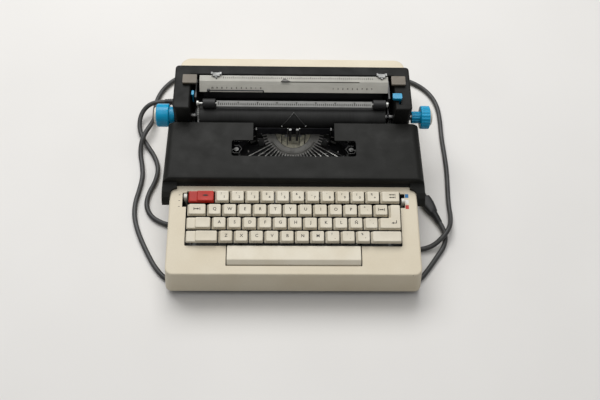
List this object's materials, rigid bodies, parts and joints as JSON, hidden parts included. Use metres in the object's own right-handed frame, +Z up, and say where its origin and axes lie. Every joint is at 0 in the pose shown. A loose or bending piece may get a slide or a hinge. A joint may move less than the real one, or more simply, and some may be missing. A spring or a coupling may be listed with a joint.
{
  "type": "electric typewriter",
  "caption": "Portable electric typewriter: sloping keyboard, lift-off ribbon cover, type basket, sliding carriage with platen, knobs, paper bail and margin stops, and mains lead with plug.",
  "frame": {"origin": "on the surface the feet stand on, at the middle of the machine's box without its lead", "axes": "+X along the carriage towards the operator's right, +Y from the space bar to the rear, +Z up"},
  "size_m": [0.44, 0.3635, 0.1246],
  "materials": {
    "shell_beige": "fine moulded texture, satin",
    "pan_painted": "grey enamel on pressed steel",
    "foot_rubber": "matt black rubber",
    "screw_steel": "zinc plated",
    "cover_charcoal": "fine matt texture with faint wear",
    "key_cream": "satin moulded plastic with dark legends",
    "key_red": "satin moulded plastic",
    "mechanism_dark": "dark grey enamel",
    "mechanism_steel": "bright mill finish",
    "typebar_steel": "oiled steel",
    "segment_grey": "dark grey metal",
    "spool_plastic": "black moulded plastic",
    "ribbon_fabric": "inked woven band",
    "guide_chrome": "bright plated",
    "motor_grey": "grey enamel",
    "belt_rubber": "black rubber",
    "bell_steel": "plated",
    "carriage_charcoal": "fine matt texture, rubbed smooth at the edges",
    "table_silver": "silver-beige enamel with printed scale",
    "platen_rubber": "ground black rubber",
    "shaft_steel": "turned steel",
    "knob_blue": "glossy moulded plastic",
    "cap_cream": "glossy moulded plastic",
    "bail_chrome": "bright plated with printed scale",
    "bail_rubber": "black rubber",
    "release_grey": "grey-beige plastic",
    "lever_blue": "glossy moulded plastic",
    "lever_light": "light grey plastic",
    "cord_grey": "dark grey vinyl sheath",
    "plug_black": "moulded black vinyl with steel pins"
  },
  "bodies": {
    "machine": {"lower_shell": "shell_beige", "base_plate": "pan_painted", "rubber_feet": "foot_rubber", "base_screws": "screw_steel", "key_levers": "mechanism_steel", "lever_shaft": "mechanism_steel", "inner_frame": "mechanism_dark", "type_segment": "segment_grey", "typebars": "typebar_steel", "ribbon_guides": "guide_chrome", "ink_ribbon": "ribbon_fabric", "card_guide": "guide_chrome", "drive_motor": "motor_grey", "drive_belt": "belt_rubber", "margin_bell": "bell_steel", "cord_strain_relief": "plug_black", "mains_cord": "cord_grey", "mains_plug": "plug_black"},
    "ribbon_cover": {"ribbon_cover": "cover_charcoal"},
    "number_row": {"number_row_keys": "key_cream"},
    "upper_row": {"upper_letter_keys": "key_cream"},
    "home_row": {"home_row_keys": "key_cream"},
    "lower_row": {"lower_letter_keys": "key_cream"},
    "red_key": {"red_key": "key_red"},
    "backspace_key": {"backspace_key": "key_cream"},
    "tab_key": {"tab_key": "key_cream"},
    "margin_release_key": {"margin_release_key": "key_cream"},
    "shift_lock_key": {"shift_lock_key": "key_cream"},
    "return_key": {"return_key": "key_cream"},
    "shift_keys": {"shift_keys": "key_cream"},
    "space_bar": {"space_bar": "key_cream"},
    "centre_typebar": {"centre_typebar": "typebar_steel"},
    "ribbon_spool_left": {"ribbon_spool_left": "spool_plastic"},
    "ribbon_spool_right": {"ribbon_spool_right": "spool_plastic"},
    "ribbon_vibrator": {"ribbon_vibrator": "mechanism_steel"},
    "power_roller": {"power_roller": "mechanism_steel"},
    "motor_shaft": {"motor_shaft": "shaft_steel"},
    "spring_drum": {"spring_drum": "mechanism_steel"},
    "impression_lever": {"impression_lever": "lever_light"},
    "ribbon_colour_lever": {"ribbon_colour_lever": "lever_light"},
    "carriage": {"carriage_frame": "mechanism_dark", "carriage_cover": "carriage_charcoal", "paper_table": "table_silver"},
    "platen": {"platen_roller": "platen_rubber", "platen_shaft": "shaft_steel", "platen_knob_left": "knob_blue", "platen_knob_right": "knob_blue", "knob_caps": "cap_cream"},
    "paper_bail": {"paper_bail": "bail_chrome"},
    "bail_roller_left": {"bail_roller_left": "bail_rubber"},
    "bail_roller_right": {"bail_roller_right": "bail_rubber"},
    "margin_stop_left": {"margin_stop_left": "guide_chrome"},
    "margin_stop_right": {"margin_stop_right": "guide_chrome"},
    "paper_pointer": {"paper_pointer": "lever_light"},
    "paper_support": {"paper_support": "guide_chrome"},
    "carriage_release_left": {"carriage_release_left": "release_grey"},
    "carriage_release_right": {"carriage_release_right": "release_grey"},
    "paper_release_lever": {"paper_release_lever": "lever_blue"},
    "line_space_lever": {"line_space_lever": "lever_blue"}
  },
  "joints": [
    {"name": "cover_lift", "type": "slide", "parent": "machine", "child": "ribbon_cover", "axis": [0, 0, 1], "range_m": [0, 0.06]},
    {"name": "number_row_press", "type": "slide", "parent": "machine", "child": "number_row", "axis": [0, 0.1891, -0.982], "range_m": [0, 0.0045], "stiffness_N_per_m": 400, "springref_m": -0.004},
    {"name": "upper_row_press", "type": "slide", "parent": "machine", "child": "upper_row", "axis": [0, 0.1891, -0.982], "range_m": [0, 0.0045], "stiffness_N_per_m": 400, "springref_m": -0.004},
    {"name": "home_row_press", "type": "slide", "parent": "machine", "child": "home_row", "axis": [0, 0.1891, -0.982], "range_m": [0, 0.0045], "stiffness_N_per_m": 400, "springref_m": -0.004},
    {"name": "lower_row_press", "type": "slide", "parent": "machine", "child": "lower_row", "axis": [0, 0.1891, -0.982], "range_m": [0, 0.0045], "stiffness_N_per_m": 400, "springref_m": -0.004},
    {"name": "red_key_press", "type": "slide", "parent": "machine", "child": "red_key", "axis": [0, 0.1891, -0.982], "range_m": [0, 0.0045], "stiffness_N_per_m": 150, "springref_m": -0.004},
    {"name": "backspace_press", "type": "slide", "parent": "machine", "child": "backspace_key", "axis": [0, 0.1891, -0.982], "range_m": [0, 0.0045], "stiffness_N_per_m": 150, "springref_m": -0.004},
    {"name": "tab_press", "type": "slide", "parent": "machine", "child": "tab_key", "axis": [0, 0.1891, -0.982], "range_m": [0, 0.0045], "stiffness_N_per_m": 150, "springref_m": -0.004},
    {"name": "margin_release_press", "type": "slide", "parent": "machine", "child": "margin_release_key", "axis": [0, 0.1891, -0.982], "range_m": [0, 0.0045], "stiffness_N_per_m": 150, "springref_m": -0.004},
    {"name": "shift_lock_press", "type": "slide", "parent": "machine", "child": "shift_lock_key", "axis": [0, 0.1891, -0.982], "range_m": [0, 0.0045], "stiffness_N_per_m": 150, "springref_m": -0.004},
    {"name": "return_press", "type": "slide", "parent": "machine", "child": "return_key", "axis": [0, 0.1891, -0.982], "range_m": [0, 0.0045], "stiffness_N_per_m": 150, "springref_m": -0.004},
    {"name": "shift_press", "type": "slide", "parent": "machine", "child": "shift_keys", "axis": [0, 0.1891, -0.982], "range_m": [0, 0.0045], "stiffness_N_per_m": 250, "springref_m": -0.004},
    {"name": "space_press", "type": "slide", "parent": "machine", "child": "space_bar", "axis": [0, 0.1891, -0.982], "range_m": [0, 0.0045], "stiffness_N_per_m": 300, "springref_m": -0.004},
    {"name": "centre_typebar_swing", "type": "hinge", "parent": "machine", "child": "centre_typebar", "pos_m": [0, 0.0183, 0.0368], "axis": [-1, 0, 0], "range_deg": [0, 98]},
    {"name": "left_spool_turn", "type": "hinge", "parent": "machine", "child": "ribbon_spool_left", "pos_m": [-0.112, 0, 0.076], "axis": [0, 0, 1], "continuous": true},
    {"name": "right_spool_turn", "type": "hinge", "parent": "machine", "child": "ribbon_spool_right", "pos_m": [0.112, 0, 0.076], "axis": [0, 0, 1], "continuous": true},
    {"name": "vibrator_lift", "type": "slide", "parent": "machine", "child": "ribbon_vibrator", "axis": [0, 0, 1], "range_m": [0, 0.008], "stiffness_N_per_m": 20, "springref_m": -0.004},
    {"name": "power_roller_spin", "type": "hinge", "parent": "machine", "child": "power_roller", "pos_m": [0, 0.062, 0.03], "axis": [1, 0, 0], "continuous": true},
    {"name": "motor_spin", "type": "hinge", "parent": "machine", "child": "motor_shaft", "pos_m": [-0.1, 0.14, 0.038], "axis": [1, 0, 0], "continuous": true},
    {"name": "drum_turn", "type": "hinge", "parent": "machine", "child": "spring_drum", "pos_m": [0.104, 0.136, 0.04], "axis": [0, 1, 0], "range_deg": [-370, 370]},
    {"name": "impression_set", "type": "hinge", "parent": "machine", "child": "impression_lever", "pos_m": [-0.1374, -0.066, 0.042], "axis": [1, 0, 0], "range_deg": [0, 15]},
    {"name": "ribbon_colour_set", "type": "hinge", "parent": "machine", "child": "ribbon_colour_lever", "pos_m": [0.1389, -0.0705, 0.042], "axis": [1, 0, 0], "range_deg": [-7, 7]},
    {"name": "carriage_travel", "type": "slide", "parent": "machine", "child": "carriage", "axis": [1, 0, 0], "range_m": [-0.1, 0.104]},
    {"name": "platen_turn", "type": "hinge", "parent": "carriage", "child": "platen", "pos_m": [0, 0.052, 0.0825], "axis": [1, 0, 0], "continuous": true},
    {"name": "bail_lift", "type": "hinge", "parent": "carriage", "child": "paper_bail", "pos_m": [0, 0.07, 0.086], "axis": [-1, 0, 0], "range_deg": [0, 20]},
    {"name": "left_bail_roller_turn", "type": "hinge", "parent": "paper_bail", "child": "bail_roller_left", "pos_m": [-0.1108, 0.0552, 0.105], "axis": [1, 0, 0], "continuous": true},
    {"name": "right_bail_roller_turn", "type": "hinge", "parent": "paper_bail", "child": "bail_roller_right", "pos_m": [0.1122, 0.0552, 0.105], "axis": [1, 0, 0], "continuous": true},
    {"name": "left_margin_set", "type": "slide", "parent": "carriage", "child": "margin_stop_left", "axis": [1, 0, 0], "range_m": [-0.014, 0.081]},
    {"name": "right_margin_set", "type": "slide", "parent": "carriage", "child": "margin_stop_right", "axis": [1, 0, 0], "range_m": [-0.0955, 0.001]},
    {"name": "paper_pointer_set", "type": "slide", "parent": "carriage", "child": "paper_pointer", "axis": [1, 0, 0], "range_m": [0, 0.09]},
    {"name": "paper_support_raise", "type": "hinge", "parent": "carriage", "child": "paper_support", "pos_m": [-0.112, 0.0702, 0.1136], "axis": [0, -1, 0], "range_deg": [0, 80]},
    {"name": "left_carriage_release", "type": "hinge", "parent": "carriage", "child": "carriage_release_left", "pos_m": [-0.142, 0.0825, 0.099], "axis": [1, 0, 0], "range_deg": [0, 6], "stiffness_Nm_per_rad": 0.2, "springref_deg": -5.73},
    {"name": "right_carriage_release", "type": "hinge", "parent": "carriage", "child": "carriage_release_right", "pos_m": [0.1426, 0.0825, 0.099], "axis": [1, 0, 0], "range_deg": [0, 6], "stiffness_Nm_per_rad": 0.2, "springref_deg": -5.73},
    {"name": "paper_release", "type": "hinge", "parent": "carriage", "child": "paper_release_lever", "pos_m": [0.138, 0.056, 0.098], "axis": [1, 0, 0], "range_deg": [0, 11]},
    {"name": "line_space_set", "type": "hinge", "parent": "carriage", "child": "line_space_lever", "pos_m": [-0.1323, 0.066, 0.098], "axis": [1, 0, 0], "range_deg": [-10, 10]}
  ],
  "couplings": [
    {"joint": "shift_lock_press", "follows": "shift_press", "ratio": 1},
    {"joint": "motor_spin", "follows": "power_roller_spin", "ratio": 2.1667},
    {"joint": "drum_turn", "follows": "carriage_travel", "rad_per_m": 60.606}
  ]
}
